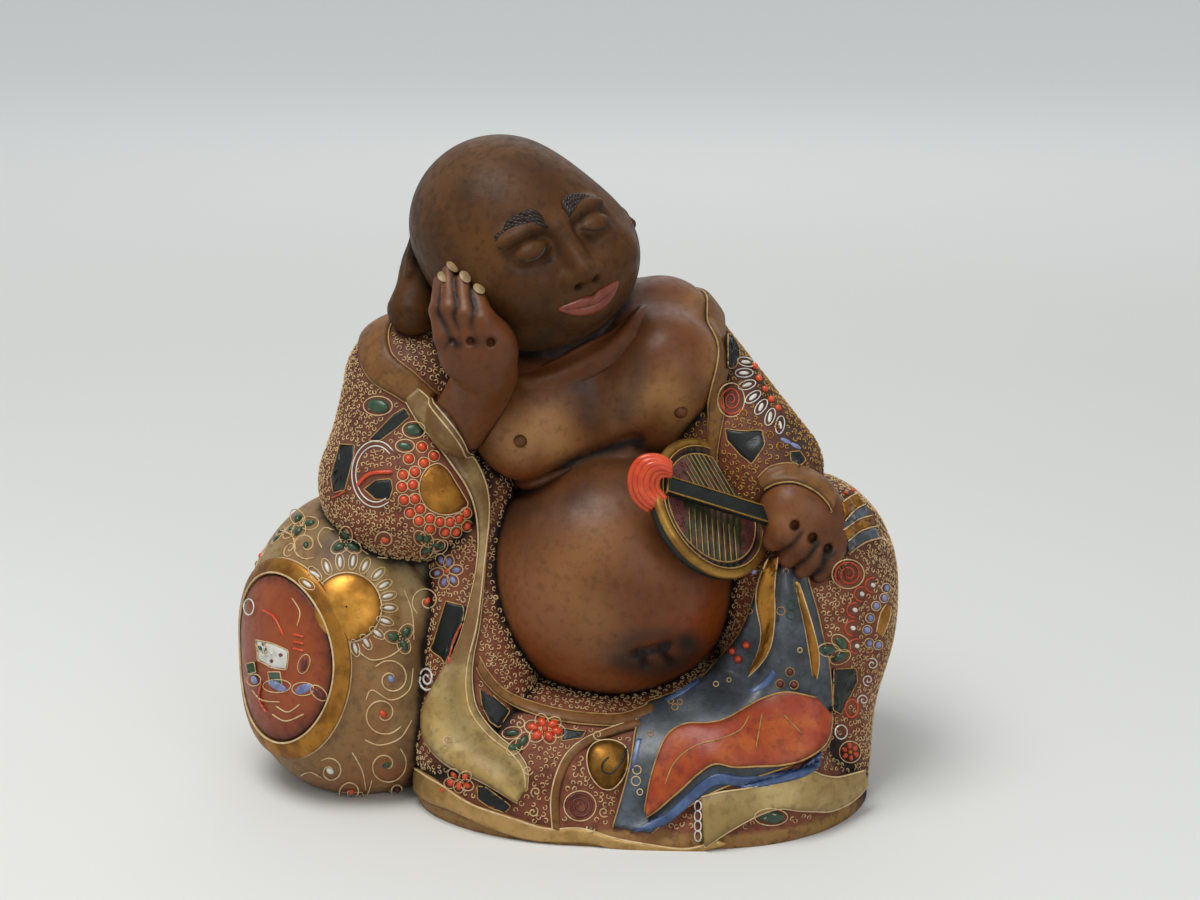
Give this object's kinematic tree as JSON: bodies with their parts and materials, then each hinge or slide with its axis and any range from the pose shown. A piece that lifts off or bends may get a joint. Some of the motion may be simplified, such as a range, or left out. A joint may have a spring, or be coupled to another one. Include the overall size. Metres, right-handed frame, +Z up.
{
  "type": "laughing buddha figurine",
  "caption": "Seated, big-bellied laughing buddha in painted fired clay, leaning on his sack with one hand to his cheek and a round leaf fan in the other.",
  "frame": {"origin": "on the ground under the middle of the figure's outer box", "axes": "+X towards the viewer's right (the figure's own left), -Y towards the front, +Z up"},
  "size_m": [0.2878, 0.1929, 0.2804],
  "materials": {
    "skin": "burnished reddish-brown clay, semi-matte with a soft sheen",
    "robe": "unglazed reddish-brown slip under dense raised cream slip-trailed curls, matte",
    "tan": "tan-bronze painted band, semi-matte",
    "cream": "cream-tan painted fold, semi-matte",
    "gold": "worn gilding over clay, satin",
    "sack": "olive-brown painted clay, semi-matte",
    "vermilion": "vermilion enamel, satin",
    "slate": "slate-blue enamel, satin to glossy",
    "black": "blue-black enamel, satin",
    "moss": "moss-green and plum enamel lines, satin"
  },
  "bodies": {
    "root": {"head": "skin", "torso": "skin", "nose": "skin", "right_eyelid": "skin", "left_eyelid": "skin", "right_ear": "skin", "left_ear": "skin", "right_hand": "skin", "right_forearm": "skin", "left_hand": "skin", "right_nipple": "skin", "left_nipple": "skin", "neck_roll": "skin", "chest_roll": "skin", "right_sleeve": "robe", "left_sleeve": "robe", "left_knee": "robe", "right_lap": "robe", "front_skirt": "robe", "back_of_robe": "robe", "sack": "sack", "right_brow": "black", "left_brow": "black", "fan_handle": "black", "upper_lip": "vermilion", "lower_lip": "vermilion", "fan_tassel": "vermilion", "sash_lining": "vermilion", "medallion": "vermilion", "fan_dish": "slate", "sash_cloth": "slate", "fan_leaf": "moss", "fan_rim": "gold", "gold_fold": "gold", "hem_band": "gold", "inner_hem_band": "gold", "medallion_rim": "gold", "sun_disc": "gold", "right_hem_fold": "cream", "left_hem_fold": "cream", "shoulder_band": "tan", "right_lapel": "tan", "left_band": "tan", "belt_band": "tan", "left_cuff": "tan"}
  },
  "joints": []
}
